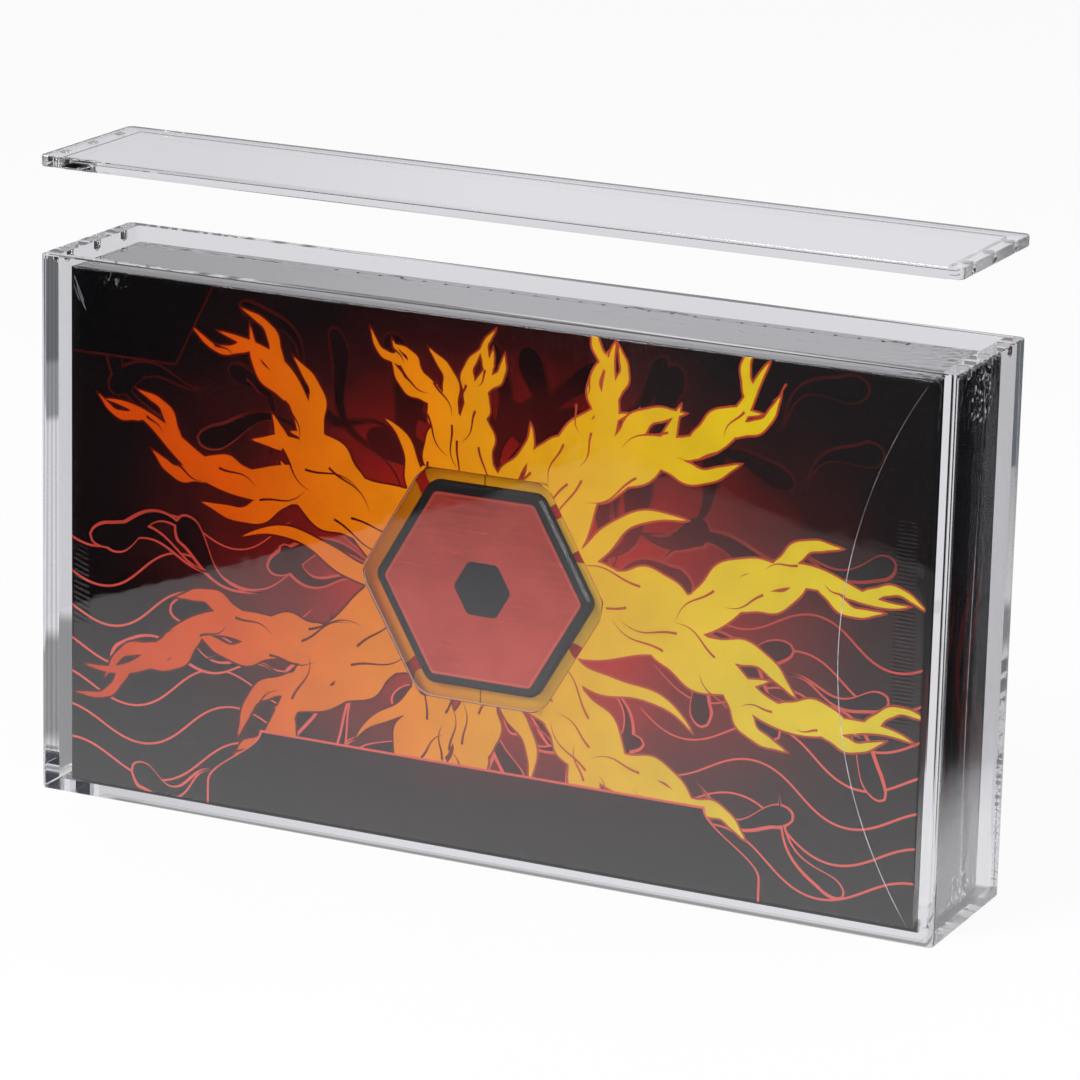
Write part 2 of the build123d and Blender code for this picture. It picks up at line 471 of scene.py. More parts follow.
def acrylic_finish():
    """Clear plastic whose bonded faces vanish: the ends of the side walls and base, and what they meet."""
    finish, point, x, y, z = new_finish("clear_acrylic")
    low = z < base_top - joint_band
    front_or_back = (abs(abs(y) - inner_half_depth) < joint_band) * (abs(x) > inner_half_width).either(low)
    end_of_base = (abs(abs(x) - inner_half_width) < joint_band) * low
    bonded = front_or_back.either(end_of_base)
    lamp_ray = finish.add("ShaderNodeLightPath", output="Is Shadow Ray")
    straight = lamp_ray.either(lamp_ray.also("Is Diffuse Ray"))
    dust = finish.noise(point, 0.35, detail=6.0)
    end = (abs(x) > outer_half_width - end_band) * (abs(y) > inner_half_depth).either(low)
    lid_end = (abs(x) > outer_half_width - end_band) * (z > low_lid.z / mm)
    blur = dust.climb(0.62, 0.8, 0.0, 0.05).either(end * dust.climb(0.3, 0.7, 0.05, 0.11)).either(lid_end * 0.16)
    glass = finish.plastic(Base_Color=white, Transmission_Weight=1.0, IOR=acrylic_index, Roughness=blur)
    passing = finish.add("ShaderNodeBsdfTransparent")
    return finish.done(finish.shaders(bonded.either(straight), glass, passing))


def dress(finish, *names):
    """Gives CAD nodes a finish by assigning it to their material slots."""
    for name in names:
        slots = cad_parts[name].material_slots
        for slot in slots:
            slot.link = "DATA"
            slot.material = finish
        if not slots:
            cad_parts[name].data.materials.append(finish)


sheets = [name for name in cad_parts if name.endswith("_panel")]
dress(acrylic_finish(), *sheets)
print("acrylic:", sheets)

# %% [markdown]
# ## The magnets
# Small nickel-plated discs sit in blind holes. Nickel is a warm, bright grey, so the discs' tops are pale and their
# sides show the dark room in front. Fine noise, squeezed along the axis into rings, stands in for the plating's
# marks.

# %% Nickel plating
def nickel_finish():
    """A warm bright metal whose colour and roughness follow the grain."""
    finish, point, x, y, z = new_finish("magnet_nickel")
    grain = finish.noise(point, 2.5, detail=2.0, squeeze=(1.0, 1.0, 6.0))
    shade = finish.ramp(grain, (0.3, ink(176, 173, 167)), (0.7, ink(212, 210, 204)))
    return finish.done(finish.plastic(Base_Color=shade, Metallic=1.0, Roughness=grain.climb(0.2, 0.8, 0.12, 0.3)))


magnets = [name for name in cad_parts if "_magnet_" in name]
dress(nickel_finish(), *magnets)
print(len(magnets), "magnets")

# %% [markdown]
# ## The printed card
# The carton is laminated card, printed nearly black with a dark red glow round the badge. Its cut edges and inside
# are raw pale board. One material does both: the print is only on the outermost planes, found from the carton's box.
# The film over it has the gloss, so the card under it is nearly matt.

# %% Card: print outside, raw board inside
carton_low, carton_high = (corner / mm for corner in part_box("carton"))
centre_x, centre_z = (carton_low.x + carton_high.x) / 2, (carton_low.z + carton_high.z) / 2
front_y = carton_low.y
skin = 0.06
ink_gloss = 0.01
glow_x = centre_x + 12.0


def glow_reach(x, z, half_width, half_height, smoke, share):
    """The reach is the root of the two squares: 1 on an ellipse about the glow's middle, made uneven by smoke."""
    across, up = (x - glow_x) / half_width, (z - centre_z) / half_height
    return (across * across + up * up) ** 0.5 + (smoke - 0.5) * share


def card_print_finish():
    """Red close to the badge's axis, near black at a reach of 1, which is 200 mm across and 135 mm up, and black
    beyond it. 0.7 of the reach runs along the ramp."""
    finish, point, x, y, z = new_finish("printed_card")
    smoke = finish.noise(point, 0.018, detail=4.0)
    reach = glow_reach(x, z, 200.0, 135.0, smoke, 0.35)
    red = finish.ramp(reach * 0.7, (0.0, ink(178, 36, 24)), (0.21, ink(158, 30, 20)), (0.385, ink(104, 20, 17)),
                      (0.56, ink(46, 13, 13)), (0.7, ink(19, 10, 11)), (0.95, ink(10, 8, 9)))
    plain = finish.ramp(smoke, (0.3, ink(12, 11, 13)), (0.7, ink(20, 16, 18)))
    on_front = y < front_y + skin
    printed = finish.mix(on_front, plain, red)
    outside = (on_front.either(y > carton_high.y - skin).either(x < carton_low.x + skin)
               .either(x > carton_high.x - skin).either(z < carton_low.z + skin).either(z > carton_high.z - skin))
    fibre = finish.noise(point, 1.2, detail=5.0)
    board = finish.ramp(fibre, (0.3, ink(186, 180, 168)), (0.7, ink(214, 209, 199)))
    colour = finish.mix(outside, board, printed)
    grain = finish.bump(fibre, 0.06, 0.0002)
    return finish.done(finish.plastic(Base_Color=colour, Roughness=0.75 - outside * 0.2, Normal=grain,
                                      Specular_IOR_Level=ink_gloss))


dress(card_print_finish(), "carton")

# %% [markdown]
# ## Flame shapes for the print
# The print is built from one kind of shape, the tongue: a middle line that bends to and fro, and a width along it.
# The line's heading is a formula, and adding up short steps along the heading gives the line. That keeps every bend
# smooth. Shapes that would reach over the window are pushed back to its edge, and at the carton's edges they are
# cut off, as a print is. Each shape lies a hair above the one before, so that overlaps are clean.

# %% Middle lines and tongues
ink_layer = 0.02
ink_thickness = 0.01
window_half = 52.0
print_margin = 0.15
level_step = 0.09
level_gap = 0.6


def middle_line(root, angle, length, bend=0.0, turns=1.0, phase=0.0, curl=0.0, past=0.0, steps=41):
    """Shares s, points and headings of a line. The heading is angle + curl s + bend sin(2 pi turns s + phase), and
    the points are the root plus the sum of steps along it. It runs on past its end by a given length."""
    s = np.linspace(0.0, 1.0, steps)
    if past:
        s = np.append(s, 1.0 + past / length * np.array([0.33, 0.67, 1.0]))
    heading = angle + curl * s + bend * np.sin(2 * np.pi * turns * s + phase)
    stride = np.diff(s, prepend=0.0) * length
    points = np.array(root) + np.cumsum(stride[:, None] * np.stack([np.cos(heading), np.sin(heading)], 1), axis=0)
    return s, points, heading


def tongue(line, half):
    """A grid of x, z pairs, 5 points wide: the line's points plus the half width times -1 to 1 along its normal."""
    s, points, heading = line
    normal = np.stack([-np.sin(heading), np.cos(heading)], axis=1)
    t = np.linspace(-1.0, 1.0, 5)
    return points[:, None, :] + (half[:, None] * t)[:, :, None] * normal[:, None, :]


def flame(root, angle, length, width, spread=0.0, swell=0.12, **bends):
    """A pointed tongue. Its half width is width (1 - s)^0.75 (1 + swell sin(6 pi s)), plus the spread, which
    itself falls to nothing over the length by which the line runs on."""
    past = 2.5 * spread
    line = middle_line(root, angle, length, past=past, **bends)
    s = line[0]
    body = width * np.clip(1 - s, 0, 1) ** 0.75 * (1 + swell * np.sin(6 * np.pi * s))
    fringe = spread * (1 - np.clip((s - 1) * length / max(past, 1e-6), 0, 1))
    return tongue(line, body + fringe)


def drop(root, angle, length, width, spread=0.0, head=0.14, **bends):
    """A drop with a round head and a long tail. Over its head its half width is a quarter ellipse; from there on
    it is width (1 - (s - head) / (1 - head))^1.6. The spread moves the head's end out by the same amount."""
    start = np.array(root) - spread * np.array([np.cos(angle), np.sin(angle)])
    line = middle_line(start, angle, length + spread, **bends)
    s = line[0]
    nose = head * (length + 3 * spread) / (length + spread)
    round_part = np.sqrt(np.clip(1 - (1 - s / nose) ** 2, 0, 1))
    tail = np.clip(1 - (s - nose) / (1 - nose), 0, 1) ** 1.6
    return tongue(line, width * np.where(s < nose, round_part, tail) + spread * np.where(s < nose, round_part, 1))


def inside_edges(values, axis):
    """Places along x (0), y (1) or z (2), kept within the carton's edges less a small margin."""
    return np.clip(values, carton_low[axis] + print_margin, carton_high[axis] - print_margin)


def on_front(shape, layer):
    """Moves x, z pairs about the badge's axis to the carton's front, outside the window and inside the edges."""
    x, z = shape[..., 0], shape[..., 1]
    turn = np.arctan2(z, x)
    to_flat = np.mod(turn, np.pi / 3) - np.pi / 6
    clear = (window_half + 0.3) / np.cos(to_flat)
    push = np.maximum(1.0, clear / np.maximum(np.hypot(x, z), 1e-6))
    x, z = inside_edges(x * push + centre_x, 0), inside_edges(z * push + centre_z, 2)
    return np.stack([x, np.full_like(x, front_y - layer * ink_layer), z], axis=-1)


def levels(shapes):
    """For each placed shape, the lowest level that no earlier shape near it has. Two shapes are near where their
    middle lines come closer than both half widths and a gap."""
    done = []
    for shape in shapes:
        middle = shape[:, shape.shape[1] // 2]
        half = np.linalg.norm(shape[:, -1] - shape[:, 0], axis=1) / 2
        near = {level for other, wide, level in done
                if (np.linalg.norm(middle[:, None] - other, axis=2) < half[:, None] + wide + level_gap).any()}
        done.append((middle, half, next(level for level in range(len(done) + 1) if level not in near)))
    return [level for _, _, level in done]


def printed_piece(name, shapes, finish, layer, place=on_front):
    """Shapes as one layer of ink that rides with the boxed set, where overlapping shapes have levels of their own."""
    level = levels([place(shape, 0.0) for shape in shapes])
    print(name, "levels:", max(level) + 1)
    piece = grid_object(name, [place(shape, layer + level_step * n) for shape, n in zip(shapes, level)], finish)
    wall = piece.modifiers.new("wall", "SOLIDIFY")
    wall.thickness = ink_thickness * mm
    wall.offset = -1.0
    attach(piece, "boxed_set")
    return piece


# %% [markdown]
# ## A burst of flames
# Flames run out from the badge to the carton's edges, deep orange on the left and yellow on the right. Each main
# flame has smaller licks that leave it at an angle and curl back to its direction, as real flames do. A red-brown
# line goes round them: the same shapes a little larger, laid beneath. Short strokes inside follow the licks.

# %% Main flames, minor flames and licks
flame_count = 14
root_radius = 38.0
outline_width = 1.0
lick_places = (0.16, 0.28, 0.4, 0.52, 0.64, 0.76, 0.87)
notch_places = (0.22, 0.34, 0.46, 0.58, 0.7, 0.82)


def reach_of(angle):
    """How far it is from the badge's axis to the carton's edge at an angle."""
    across = (carton_high.x - carton_low.x) / 2 / max(abs(np.cos(angle)), 1e-6)
    up = (carton_high.z - carton_low.z) / 2 / max(abs(np.sin(angle)), 1e-6)
    return min(across, up)


def main_flames():
    """For each main flame: its root, angle, length, half width and bends, from a seeded source of chance."""
    chance = np.random.default_rng(11)
    for number in range(flame_count):
        angle = 2 * np.pi * (number + 0.5) / flame_count + chance.uniform(-0.05, 0.05)
        root = root_radius * np.array([np.cos(angle), np.sin(angle)])
        length = reach_of(angle) * chance.uniform(0.92, 1.06) - root_radius
        bends = {"bend": chance.uniform(0.38, 0.52) * (1 if number % 2 else -1), "turns": max(1.0, length / 110.0),
                 "phase": chance.uniform(-0.4, 0.4), "steps": 61}
        yield root, angle, length, 8.0 + 0.022 * length, bends, chance


def burst(spread):
    """Every main flame with its licks, and a minor flame between it and the next."""
    shapes = []
    for root, angle, length, width, bends, chance in main_flames():
        between = angle + np.pi / flame_count
        start = root_radius * np.array([np.cos(between), np.sin(between)])
        full = reach_of(between) * chance.uniform(0.3, 0.42)
        shapes.append(flame(start, between, full, 6.0, spread, bend=0.45, turns=0.9, phase=chance.uniform(0, 6)))
        shapes.append(flame(root, angle, length, width, spread, **bends))
        s, points, heading = middle_line(root, angle, length, **bends)
        for place in lick_places:
            n = int(place * len(s))
            side = 1 if round(place / 0.12) % 2 else -1
            lick = (0.2 + 0.3 * (1 - place)) * min(length, 120.0) * chance.uniform(0.8, 1.2)
            half = width * (1 - place) ** 0.75 * 0.8 + 0.8
            shapes.append(flame(points[n], heading[n] + side * 0.72, lick, half, spread, curl=-side * 1.0,
                                bend=0.25 * side, steps=25))
    return shapes


def strokes():
    """Lines inside the main flames: each runs in from the notch beyond a lick, back towards the root."""
    shapes = []
    for root, angle, length, width, bends, chance in main_flames():
        s, points, heading = middle_line(root, angle, length, **bends)
        for place in notch_places:
            n = int(place * len(s))
            side = 1 if round((place - 0.06) / 0.12) % 2 else -1
            half = width * (1 - place) ** 0.75
            normal = np.array([-np.sin(heading[n]), np.cos(heading[n])])
            shapes.append(flame(points[n] + normal * side * half * 0.9, heading[n] + np.pi - side * 0.1, half * 3.4,
                                0.6, swell=0.0, curl=side * 0.5, bend=0.25 * side, phase=2.0, steps=21))
    return shapes


def printed_ink(finish, shade, roughness=0.55):
    """Nearly matt ink, because the gloss over the print is the film's."""
    return finish.done(finish.plastic(Base_Color=shade, Roughness=roughness, Specular_IOR_Level=ink_gloss))


def flame_ink(name, *stops):
    """Ink whose colour changes from the carton's left edge to its right edge, under a little press grain."""
    finish, point, x, y, z = new_finish(name)
    base = finish.ramp((x - carton_low.x) / (carton_high.x - carton_low.x), *stops)
    grain = finish.noise(point, 0.05, detail=5.0)
    shade = finish.ramp(grain, (0.2, (0.8, 0.8, 0.8, 1.0)), (0.8, white))
    colour = finish.mix(1.0, base, shade, blend="MULTIPLY")
    return printed_ink(finish, colour)


flame_fill = flame_ink("flame_ink", (0.0, ink(194, 60, 9)), (0.2, ink(205, 80, 8)), (0.42, ink(222, 128, 13)),
                       (0.6, ink(220, 165, 28)), (0.8, ink(219, 188, 22)), (1.0, ink(214, 193, 16)))
flame_line = flame_ink("outline_ink", (0.0, ink(62, 12, 8)), (0.45, ink(98, 20, 12)), (0.6, ink(176, 70, 44)),
                       (1.0, ink(166, 56, 28)))
printed_piece("print_flame_outlines", burst(outline_width), flame_line, 3.0)
printed_piece("print_flames", burst(0.0), flame_fill, 4.0)
printed_piece("print_strokes", strokes(), flame_line, 5.0)

# %% [markdown]
# ## Lined drops and dark flames
# Behind the burst the ground is black, with flames in the old pinstriping manner: round-headed drops with long wavy
# tails, drawn as a thin line. A lined drop is two shapes, one in the line's colour and one in the ground's colour on
# top, a line's width smaller. Nests of single wavy lines fill the lower corners.

# %% Drops in the gaps between the flames
stripe_width = 0.55
drop_rows = (0.93, 0.72, 0.52)
trail_count, trail_pitch = 7, 16.0


def lined_drops(spread):
    """Drops whose heads lie towards the carton's edges and whose tails run in beneath the burst."""
    chance = np.random.default_rng(5)
    shapes = []
    for number in range(2 * flame_count):
        angle = np.pi * (number + chance.uniform(0.3, 0.7)) / flame_count
        for share in drop_rows:
            place = angle + chance.uniform(-0.1, 0.1)
            root = reach_of(place) * (share + chance.uniform(-0.04, 0.04)) * np.array([np.cos(place), np.sin(place)])
            inward = place + np.pi + chance.uniform(-0.5, 0.5)
            length, width = chance.uniform(48, 84), chance.uniform(4.2, 7.0)
            bend = chance.choice([-1, 1]) * chance.uniform(0.45, 0.75)
            shapes.append(drop(root, inward, length, width, spread, bend=bend, turns=chance.uniform(0.8, 1.2),
                               phase=chance.uniform(-0.5, 0.5), steps=57))
    return shapes


def trails():
    """Nests of wavy lines from the side edges inwards. Their half width is that of a stripe times (1 - s)^0.25."""
    shapes = []
    for side in (-1, 1):
        for row in range(trail_count):
            root = (side * 209.0, trail_pitch * row - 100.0)
            line = middle_line(root, 0.12 if side < 0 else np.pi - 0.12, 165.0 - 6.0 * row, bend=0.62 * side,
                               turns=1.6, phase=0.3 * row, steps=81)
            shapes.append(tongue(line, stripe_width * (1.0 - line[0]) ** 0.25))
    return shapes


def stripe_finish():
    """Dark red at the top, brighter towards the bottom."""
    finish, point, x, y, z = new_finish("stripe_ink")
    grain = finish.noise(point, 0.06, detail=2.0)
    shade = finish.ramp(z / 250.0 + (grain - 0.5) * 0.1, (0.3, ink(206, 84, 72)), (0.52, ink(170, 58, 46)),
                        (0.76, ink(56, 14, 10)))
    return printed_ink(finish, shade)


def ground_finish():
    """The carton's own ground, with its red glow a little darker."""
    finish, point, x, y, z = new_finish("ground_ink")
    reach = glow_reach(x, z, 190.0, 125.0, finish.noise(point, 0.02, detail=4.0), 0.4)
    shade = finish.ramp(reach * 0.7, (0.14, ink(124, 24, 18)), (0.35, ink(70, 15, 14)), (0.56, ink(28, 11, 12)),
                        (0.7, ink(17, 10, 11)), (0.95, ink(9, 8, 9)))
    return printed_ink(finish, shade)


ground = ground_finish()
stripe = stripe_finish()
printed_piece("print_trails", trails(), stripe, 0.6)
printed_piece("print_drop_lines", lined_drops(stripe_width), stripe, 1.0)
printed_piece("print_drops", lined_drops(-stripe_width), ground, 2.0)

# %% [markdown]
# ## The bare plates
# Two plates in the print stay bare: a wide one below the badge and a small one in the top left corner. Each is a
# dark field with a thin line round it. The small one runs off the carton's top and left edges.

# %% Fields with a line round them
wide_top, wide_foot, wide_bottom, wide_half, wide_flare = -82.0, -110.0, -121.0, 109.0, 27.0
small_foot, small_right, small_lean = 82.0, -153.7, 0.49
past_left, past_top = -207.8, 121.0


def field(low, high, left, right, spread):
    """Rows of x, z pairs between two heights, from the left edge's formula to the right edge's."""
    rows = np.linspace(low - spread, high + spread, 25)
    t = np.linspace(0.0, 1.0, 9)
    start, end = left(rows) - spread, right(rows) + spread
    return np.stack([start[:, None] + (end - start)[:, None] * t, np.repeat(rows[:, None], 9, axis=1)], axis=-1)[::-1]


def flared(z):
    """The wide plate's half width. Down from its top it grows as 3 s^2 - 2 s^3, with s the share of the way to its
    foot."""
    share = np.clip((wide_top - z) / (wide_top - wide_foot), 0, 1)
    return wide_half + wide_flare * (3 * share ** 2 - 2 * share ** 3)


def fields(spread):
    """The wide plate, and the small one, whose left and top edges lie past the carton's and whose right edge leans."""
    wide = field(wide_bottom, wide_top, lambda z: -flared(z), flared, spread)
    small = field(small_foot, past_top, lambda z: np.full_like(z, past_left),
                  lambda z: small_right + (z - small_foot) * small_lean, spread)
    return [wide, small]


printed_piece("print_field_lines", fields(stripe_width), stripe, 5.6)
printed_piece("print_fields", fields(-stripe_width), ground, 6.2)

# %% [markdown]
# ## The sides and the back of the carton
# The narrow sides carry dull red flames that rise from the bottom. The back has the lined drops once more, on a bare
# black ground. The same shapes serve: only the last step, which moves flat pairs to a face, is another one.

# %% Flames on the sides, drops on the back
def on_end(side):
    """A function that moves x, z pairs to the carton's right (1) or left (-1) end, inside its edges."""
    middle_y = (carton_low.y + carton_high.y) / 2

    def place(shape, layer):
        y, z = inside_edges(side * shape[..., 0] + middle_y, 1), inside_edges(shape[..., 1] + centre_z, 2)
        x = (carton_high.x if side > 0 else carton_low.x) + side * layer * ink_layer
        return np.stack([np.full_like(y, x), y, z], axis=-1)

    return place


def on_back(shape, layer):
    """Moves x, z pairs about the badge's axis to the carton's back, inside its edges."""
    x, z = inside_edges(centre_x - shape[..., 0], 0), inside_edges(shape[..., 1] + centre_z, 2)
    return np.stack([x, np.full_like(x, carton_high.y + layer * ink_layer), z], axis=-1)


def rising_flames():
    """Flames side by side whose roots lie on the bottom edge, of unlike heights."""
    chance = np.random.default_rng(21)
    return [flame((-26.0 + 10.4 * n, -118.0), np.pi / 2, chance.uniform(95.0, 175.0), 6.5, swell=0.3,
                  bend=chance.choice([-1, 1]) * 0.42, turns=1.6, phase=chance.uniform(-0.4, 0.4)) for n in range(6)]


def dull_flame_finish():
    """Dark red that fades into the black ground towards the flames' tips."""
    finish, point, x, y, z = new_finish("dull_flame_ink")
    smoke = finish.noise(point, 0.04, detail=3.0)
    shade = finish.ramp(z / 250.0 + (smoke - 0.5) * 0.2, (0.16, ink(30, 13, 13)), (0.4, ink(66, 18, 16)),
                        (0.7, ink(78, 20, 18)), (0.95, ink(34, 13, 13)))
    return printed_ink(finish, shade)


dull = dull_flame_finish()
printed_piece("print_right_end", rising_flames(), dull, 1.0, place=on_end(1))
printed_piece("print_left_end", rising_flames(), dull, 1.0, place=on_end(-1))
printed_piece("print_back_drop_lines", lined_drops(stripe_width), stripe, 1.0, place=on_back)
printed_piece("print_back_drops", lined_drops(-stripe_width), ground, 2.0, place=on_back)

# %% [markdown]
# ## The tray behind the window
# The tray's printed face lies 5 mm behind the window. The flames' inner ends go on across it, and a fold in the card
# runs down it, a little left of the badge's middle, drawn as a line of painted shade.

# %% Tray print
tray_y = (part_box("badge_frame")[1].y) / mm
fold_x = centre_x - 2.0
fold_half = 0.35
gap_numbers = (0, 1, 4, 8, 12)


def tray_finish():
    """Orange on the left to yellow on the right, with a brown line of painted shade where the card folds."""
    finish, point, x, y, z = new_finish("tray_print")
    smoke = finish.noise(point, 0.04, detail=3.0)
    base = finish.ramp((x - centre_x) / 120.0 + 0.5 + (smoke - 0.5) * 0.2, (0.0, ink(214, 110, 14)),
                       (0.5, ink(222, 150, 28)), (1.0, ink(222, 178, 44)))
    fold_shade = (abs(x - fold_x) < fold_half) * (y < tray_y + 0.1)
    # The fold's brown line is painted shade.
    shade = finish.mix(fold_shade, base, ink(140, 84, 24))
    return printed_ink(finish, shade, 0.5)


def on_tray(shape, layer):
    """Moves x, z pairs about the badge's axis to the tray's printed face."""
    x, z = shape[..., 0] + centre_x, shape[..., 1] + centre_z
    return np.stack([x, np.full_like(x, tray_y - layer * ink_layer), z], axis=-1)


def tray_gaps():
    """Red wedges between the flames, from under the badge to just past the window's edge."""
    shapes = []
    for number in gap_numbers:
        angle = 2 * np.pi * (number + 1.0) / flame_count
        root = 76.0 * np.array([np.cos(angle), np.sin(angle)])
        shapes.append(flame(root, angle + np.pi, 36.0, 7.0, swell=0.2, bend=0.2))
    return shapes


def wedge_finish():
    """Cloudy red."""
    finish, point, x, y, z = new_finish("tray_red_ink")
    smoke = finish.noise(point, 0.05, detail=3.0)
    shade = finish.ramp(smoke, (0.3, ink(150, 28, 20)), (0.7, ink(184, 40, 30)))
    return printed_ink(finish, shade, 0.5)


dress(tray_finish(), "display_tray")
printed_piece("print_tray_gaps", tray_gaps(), wedge_finish(), 1.0, place=on_tray)

# %% [markdown]
# ## The badge
# A moulded black body with a bevelled rim holds a red foil plate. The foil is faintly brushed, with a cloudy sheen,
# and mirrors the pale table in its own red. Near its edge it turns over the plate, and a thin bright line there is a
# painted highlight.

# %% Black plastic and red foil
foil_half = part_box("badge_face")[1].z / mm - centre_z


def badge_plastic_finish():
    """Black, with a fine grain in its colour and gloss."""
    finish, point, x, y, z = new_finish("badge_plastic")
    grain = finish.noise(point, 3.0, detail=3.0)
    shade = finish.ramp(grain, (0.3, ink(14, 14, 16)), (0.7, ink(24, 24, 27)))
    return finish.done(finish.plastic(Base_Color=shade, Roughness=grain.climb(0.2, 0.8, 0.18, 0.32)))


def foil_finish():
    """Red metal with a painted highlight, a paler line, along the rim. How far out a point lies is the largest of its
    distances along the three pairs of sides, which is the same all along a six-sided outline."""
    finish, point, x, y, z = new_finish("badge_foil")
    brush = finish.noise(point, 0.6, detail=6.0, squeeze=(0.06, 1.0, 1.6))
    cloud = finish.noise(point, 0.05, detail=4.0)
    shade = finish.ramp(brush * 0.15 + cloud * 0.85, (0.3, ink(222, 86, 74)), (0.7, ink(247, 106, 92)))
    across, up = x - centre_x, z - centre_z
    out = abs(up).either(abs(across * 0.866 + up * 0.5)).either(abs(across * 0.866 - up * 0.5))
    # A painted highlight along the foil's turned-over edge.
    shade = finish.mix(out.within(foil_half - 1.2, foil_half - 0.5, 0.15), shade, ink(255, 128, 108))
    normal = finish.bump(brush, 0.06, 0.0002)
    return finish.done(finish.plastic(Base_Color=shade, Metallic=0.85, Roughness=brush.climb(0.2, 0.8, 0.16, 0.28),
                                      Normal=normal))


dress(badge_plastic_finish(), "badge_frame")
dress(foil_finish(), "badge_face")

# %% [markdown]
# ## The shrink film
# The film is a clear sheet a fraction of a millimetre thick, drawn tight over the carton by heat. It is flat where
# it has room, and gathers into folds along the edges and at the corners. It is modelled as one closed box of six
# grids that are finer towards the edges. A height formula lifts the grids, and falls to nothing on every edge.

# %% The film's folds
film_low, film_high = (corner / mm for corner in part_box("shrink_film"))
fold_pitch = 3.4
fold_reach = 9.0
edge_radius = 0.45
seam_y = 5.0


def crowded(low, high, count):
    """Places from low to high, closest at both ends: the share s less 0.6 sin(2 pi s) / (2 pi)."""
    s = np.linspace(0.0, 1.0, count)
    return low + (high - low) * (s - 0.6 * np.sin(2 * np.pi * s) / (2 * np.pi))


def gathers(along, inward, seed):
    """Folds that run in from an edge: patches along it, times exp(-inward / fold_reach), times a sine along it."""
    patch = np.clip(np.sin(along / 23.0 + seed) + 0.6 * np.sin(along / 9.0 + 2.3 * seed), 0.0, 1.0)
    wave = 0.5 + 0.5 * np.sin(2 * np.pi * along / fold_pitch + 2.0 * np.sin(along / 6.0 + seed) + inward / 5.0)
    return patch * np.exp(-inward / fold_reach) * wave


def crumple(u, v, size, seed):
    """Sharp creases: the size of a sum of six sines in seeded directions, which is zero along crooked lines."""
    chance = np.random.default_rng(seed)
    total = np.zeros_like(u)
    for _ in range(6):
        turn, phase, stretch = chance.uniform(0, np.pi), chance.uniform(0, 6.3), chance.uniform(0.6, 1.6)
        total += np.sin(2 * np.pi * (u * np.cos(turn) + v * np.sin(turn)) / (size * stretch) + phase)
    return np.abs(total) / 3.0


def fishbone(y, z):
    """Short slanting folds on both sides of the side seam: clipped sines, in two bands 4.5 mm off the seam, fading as
    exp(-(height / 34)^2) above the bottom."""
    off_seam = np.abs(y - seam_y)
    wave = np.clip(np.sin(2 * np.pi * (z - 0.6 * off_seam) / fold_pitch), 0.0, 1.0)
    return 0.6 * wave * np.exp(-((off_seam - 4.5) / 3.5) ** 2) * np.exp(-((z - film_low.z) / 34.0) ** 2)


def film_height(u, v, seed, axis):
    """The height of the folds on a face, in millimetres, from its two coordinates. The narrow side faces (axis 0)
    and the top's right end (axis 2) are crumpled the most, because the spare film is welded together there."""
    edges = [(v, u - u.min()), (v, u.max() - u), (u, v - v.min()), (u, v.max() - v)]
    strength = [0.22] * 4
    if axis == 0:
        ends = np.minimum(edges[2][1], edges[3][1])
        strength[:2] = [0.16 * np.exp(-(ends / 50.0) ** 2)] * 2
    height = sum(size * gathers(along, inward, seed + n)
                 for n, (size, (along, inward)) in enumerate(zip(strength, edges)))
    corner = np.minimum(edges[0][1], edges[1][1]) + np.minimum(edges[2][1], edges[3][1])
    height += 0.3 * crumple(u, v, 9.0, seed) * np.exp(-corner / 14.0)
    if axis == 0:
        wrung = np.exp(-edges[3][1] / 18.0) + 0.4 * np.exp(-edges[2][1] / 18.0)
        height += 1.0 * crumple(u, v, 8.0, seed + 9) * wrung + fishbone(u, v)
    if axis == 2:
        height += 0.8 * crumple(u, v, 7.0, seed + 9) * np.exp(-edges[1][1] / 13.0)
    border = np.minimum.reduce([inward for _, inward in edges])
    return height * (1 - np.exp(-border / 1.2))


def rounded(points, radius):
    """Rounds the box's edges: each point goes to the radius from the nearest point of the box drawn in by it."""
    inner = np.clip(points, np.array(film_low) + radius, np.array(film_high) - radius)
    out = points - inner
    return inner + radius * out / np.linalg.norm(out, axis=-1, keepdims=True)


def film_faces():
    """The six faces of the film's rounded box, each a grid lifted along its outward normal."""
    low, high = np.array(film_low), np.array(film_high)
    places = [crowded(a, b, count) for a, b, count in zip(low, high, (176, 80, 122))]
    grids = []
    for axis in range(3):
        for side, value in ((-1, low[axis]), (1, high[axis])):
            first, second = ((axis + 1) % 3, (axis + 2) % 3)[::side]
            u, v = np.meshgrid(places[first], places[second], indexing="ij")
            flat = axis == 2 and side < 0
            height = film_height(*((u, v) if side > 0 else (v, u)), seed=3 * axis + side + 2, axis=axis)
            points = np.empty((*u.shape, 3))
            points[..., first], points[..., second], points[..., axis] = u, v, value
            points = rounded(points, edge_radius)
            points[..., axis] += side * height * (0.0 if flat else 1.0)
            grids.append(points)
    return grids


# %% [markdown]
# The film's two faces lie so close together that they act as one mirror. If one face sends back the share F, n of
# them send back nF / (1 + (n - 1)F). There are two faces, and a third on the top, where the film lies on the card's
# own gloss. F grows as the view gets flatter, after Schlick: 0.04 + 0.96 (1 - cos)^5. Where the film turns over the
# front's top edge it mirrors less, and nothing shines at the row of pin-sized vents on the top, which let the air out
# while the film shrank.

# %% How much the film mirrors
first_vent, vent_count, vent_pitch = -101.0, 26, 11.0
vents = first_vent + vent_pitch * np.arange(vent_count)
vent_y = 19.0
vent_radius = 0.9


def off_top_edge(y, z):
    """How far a point is from the front's top edge: down from it plus back from it."""
    return (film_high.z - z) + (y - film_low.y)


